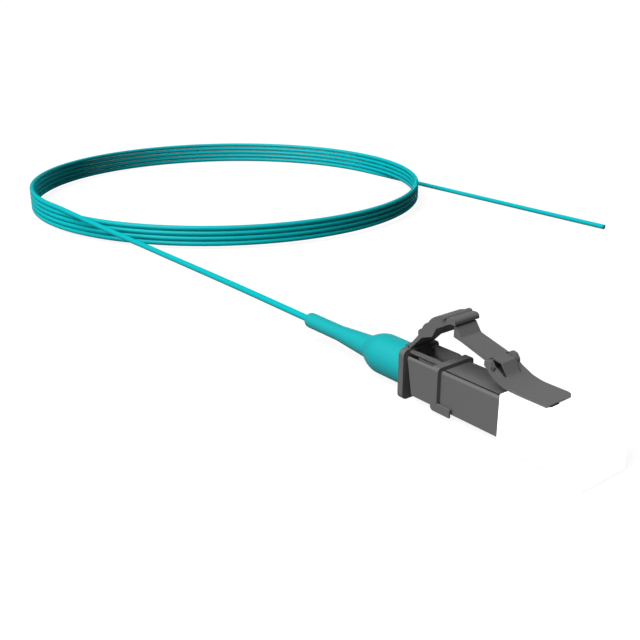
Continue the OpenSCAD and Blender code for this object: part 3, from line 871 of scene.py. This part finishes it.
class CORD_OT_clip(bpy.types.Operator):
    """Mould the clip: rear frame, rails, hoop and feet"""

    bl_idname = "cord.clip"
    bl_label = "Clip"

    def execute(self, context):
        half, low = 2.8, -AXIS_Z
        seat, lip, rail_top, hoop_top = 3.045, 3.35, 2.88, 2.7
        rail_low = rail_top - 0.35
        panel_low, foot_low, foot_front = -1.4, -2.4, -6.0
        inner = NOSE_HALF + 0.02
        frame_outline = rounded([
            (-half, low, 0.7), (half, low, 0.7), (half, seat, 0.7), (-half, seat, 0.7)])
        frame = combine(prism(frame_outline, "x", FRAME_BACK, FRAME_FRONT), [
            ("UNION", block(FRAME_BACK, FRAME_BACK + 0.45, -1.8, 1.8, seat - 0.5, lip)),
            ("UNION", block(FRAME_FRONT - 0.1, FRAME_FRONT + 0.2, -1.45, 2.3, seat - 0.25, seat)),
            ("DIFFERENCE", rod(FRAME_BACK - 1, FRAME_FRONT + 1, NECK_R + 0.02, 64))])
        # Two bars join the frame and the hoop; the left one stands on a web
        rails = mirrored(lambda: prism([
            (FRAME_FRONT - 0.1, rail_low), (HOOP_BACK + 0.3, rail_low), (HOOP_BACK + 0.3, hoop_top - 0.02),
            (HOOP_BACK - 0.2, rail_top), (FRAME_FRONT - 0.1, rail_top)], "y", 1.35, 1.75))
        web = prism([
            (-11.42, 1.2), (HOOP_BACK + 0.1, 1.2), (HOOP_BACK + 0.1, rail_top - 0.1),
            (-12.5, rail_top - 0.1)], "y", 1.34, 1.5)
        hoop_outline = rounded([
            (-half, panel_low), (half, panel_low), (half, hoop_top, 0.5), (-half, hoop_top, 0.5)])
        hoop = combine(prism(hoop_outline, "x", HOOP_BACK, HOOP_FRONT), [
            ("DIFFERENCE", block(-9, -7.5, -inner, inner, -2, inner))])
        feet = mirrored(lambda: prism(rounded([
            (HOOP_BACK, foot_low, 0.45), (foot_front, foot_low), (foot_front, panel_low),
            (HOOP_BACK, panel_low)]), "y", inner + 0.3, half))
        bm = fuse(frame, *rails, web, hoop, *feet)
        clip = moulded("clip", bm, context.scene.plug.edge * 2)
        dress(clip, "black_plastic", "connector", "clip_frame")
        return {"FINISHED"}


class CORD_OT_trigger(bpy.types.Operator):
    """Mould the trigger with its grip bumps and thick front plate"""

    bl_idname = "cord.trigger"
    bl_label = "Trigger"

    def execute(self, context):
        # Its bending line at the clip's rear frame, from which its outline is counted
        x, z = FRAME_FRONT - 0.1, 3.25
        half, ridge_half = 1.85, 2.15
        front = TRIGGER_HIGH.x - SHIFT_X - x
        rise = LATCH_TOP + 0.3 - z
        top = TRIGGER_HIGH.z - AXIS_Z - z
        side = rounded([
            (0.12, -0.12), (-0.12, 0.12), *bow((1.3, 1.85), (1.78, 2.72), 0.27),
            *bow((1.78, 2.72), (2.7, 3.73), 0.16), *bow((2.7, 3.73), (4.5, 4.92), 0.27),
            (4.8, top - 0.1), (5.3, top - 0.05), (5.38, top - 0.17), (5.46, top - 0.17), (5.54, top - 0.05),
            (5.9, top), (front, top, 0.42), (front, rise, 0.08), (4.6, rise, 0.1),
            (4.12, rise - 0.75, 0.2), (3.35, 2.25, 0.3), (1.85, 1.7, 0.3)])
        body = prism([(x + a, z + b) for a, b in side], "y", -half, half)
        ridge = prism(rounded([
            (x + 4.7, z + top - 0.28), (x + 4.7, z + top, 0.15), (x + 5.3, z + top, 0.15),
            (x + 5.3, z + top - 0.28)]), "y", -ridge_half, ridge_half)
        # Cheeks on both sides of the room in which the latch's tail slides
        cheeks = mirrored(lambda: prism([
            (x + 4.0, z + 3.4), (x + 4.12, z + 3.48), (x + 5.45, z + 4.25), (x + 6.0, z + rise + 0.05),
            (x + 4.3, z + rise + 0.2)], "y", 1.57, half))
        body = combine(fuse(body, ridge, *cheeks), [("INTERSECT", prism(rounded([
            (x - 1, -2.3), (x + front, -2.3, 0.5), (x + front, 2.3), (x - 1, 2.3)]), "z", 0, 12))])
        trigger = moulded("trigger_lever_skin", body, context.scene.plug.edge)
        dress(trigger, "black_plastic", "trigger_lever", "trigger")
        return {"FINISHED"}


class CORD_OT_cap(bpy.types.Operator):
    """Mould the milky dust cap"""

    bl_idname = "cord.cap"
    bl_label = "Dust cap"

    def execute(self, context):
        half, grip, low = 2.8, 3.6, -AXIS_Z
        sleeve_len, flare_len = 6.1, 2.0
        flare = CAP_REAR + sleeve_len
        flare_end = flare + flare_len
        top, high = 2.95, CAP_HIGH.z - AXIS_Z
        step = top + 0.4
        ledge = NOSE_LEN + 0.1
        plan = prism([(CAP_REAR, -half), (flare, -half), (flare_end, -grip), (CAP_FRONT, -grip),
                      (CAP_FRONT, grip), (flare_end, grip), (flare, half), (CAP_REAR, half)], "z", -9, 9)
        side = prism([(CAP_REAR, -half), (flare, -half), (flare_end, low), (CAP_FRONT, low),
                      (CAP_FRONT, high), (flare_end, high), (flare, step), (ledge, step), (ledge, top),
                      (CAP_REAR, top)], "y", -9, 9)
        inner = NOSE_HALF + 0.05
        cap = combine(plan, [
            ("INTERSECT", side),
            ("DIFFERENCE", block(-1, ledge, -inner, inner, -inner, inner)),
            ("DIFFERENCE", block(-1, ledge, -1.1, 1.1, 0, 9)),
            ("DIFFERENCE", rod(5, NOSE_LEN + TIP_OUT + 1.8, FERRULE_R + 0.3))])
        soft_edge = 0.18
        skin = moulded("cap_skin", cap, soft_edge)
        dress(skin, "cap_plastic", "cap", "dust_cap")
        return {"FINISHED"}


class CORD_OT_inner(bpy.types.Operator):
    """Turn the ferrule, wind its spring and finish the hidden parts that keep their solid shape"""

    bl_idname = "cord.inner"
    bl_label = "Ferrule and inner parts"

    def execute(self, context):
        length, bore = 8.7, 0.0675
        tip, radius = NOSE_LEN + TIP_OUT, FERRULE_R
        back = tip - length
        ferrule = lathe([
            (back, bore), (back, radius - 0.05), (back + 0.05, radius), (tip - 0.3, radius),
            (tip - 0.2, radius - 0.03), (tip - 0.02, radius - 0.14), (tip, radius - 0.2), (tip, bore)])
        dress(moulded("ferrule_skin", ferrule, 0), "zirconia", "ferrule_group", "ferrule")
        self.spring()
        kept = {"rear_body": "insert_plastic", "ferrule_flange": "flange_metal", "flange_key": "key_metal",
                "glass_fibre": "glass", "coated_fibre": "fibre_coating",
                "guide_tube": "guide_plastic", "cable_in_boot": "jacket"}
        for node, slot in kept.items():
            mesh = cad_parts[node].data
            mesh.materials.clear()
            mesh.materials.append(finish_of(slot))
        return {"FINISHED"}

    def spring(self):
        """The wound spring, laid at rest along a helix; the real one is pressed together as the ferrule is
        pushed in
        """
        wire, turns, travel = 0.25, 7, 0.9
        per_turn = 24
        low, high = node_box("ferrule_spring")
        radius = (high.y - low.y - wire) / 2
        start, end = low.x + wire / 2, high.x - wire / 2
        line = []
        for i in range(per_turn * turns + 1):
            angle = 2 * math.pi * i / per_turn
            line.append(Vector((end + (start - end) * i / (per_turn * turns), radius * math.cos(angle),
                                AXIS_Z + radius * math.sin(angle))) * MM)
        spring = tube_along("spring_wire", line, wire * MM, 10, "spring_steel")
        dress(spring, "spring_steel", "connector", "ferrule_spring")
        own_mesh(spring)


class CORD_PT_panel(bpy.types.Panel):
    """The pieces of the cord"""

    bl_label = "Fibre optic cord"
    bl_space_type = "VIEW_3D"
    bl_region_type = "UI"
    bl_category = "Cord"

    def draw(self, context):
        for operator in OPERATORS:
            self.layout.operator(operator.bl_idname)


OPERATORS = (CORD_OT_stage, CORD_OT_cable, CORD_OT_boot, CORD_OT_housing, CORD_OT_latch, CORD_OT_clip,
             CORD_OT_trigger, CORD_OT_cap, CORD_OT_inner)
SETTINGS = {"cord": CordSettings, "plug": PlugSettings, "stage": StageSettings}


def register():
    """Registers the settings, the operators and the panel."""
    for name, group in SETTINGS.items():
        bpy.utils.register_class(group)
        setattr(bpy.types.Scene, name, PointerProperty(type=group))
    for item in (*OPERATORS, CORD_PT_panel):
        bpy.utils.register_class(item)


def unregister():
    """Takes them away again."""
    for item in reversed((*OPERATORS, CORD_PT_panel)):
        bpy.utils.unregister_class(item)
    for name, group in SETTINGS.items():
        delattr(bpy.types.Scene, name)
        bpy.utils.unregister_class(group)


def main():
    """Builds every piece in order."""
    register()
    for operator in OPERATORS:
        family, name = operator.bl_idname.split(".")
        getattr(getattr(bpy.ops, family), name)()
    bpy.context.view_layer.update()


if __name__ == "__main__":
    main()
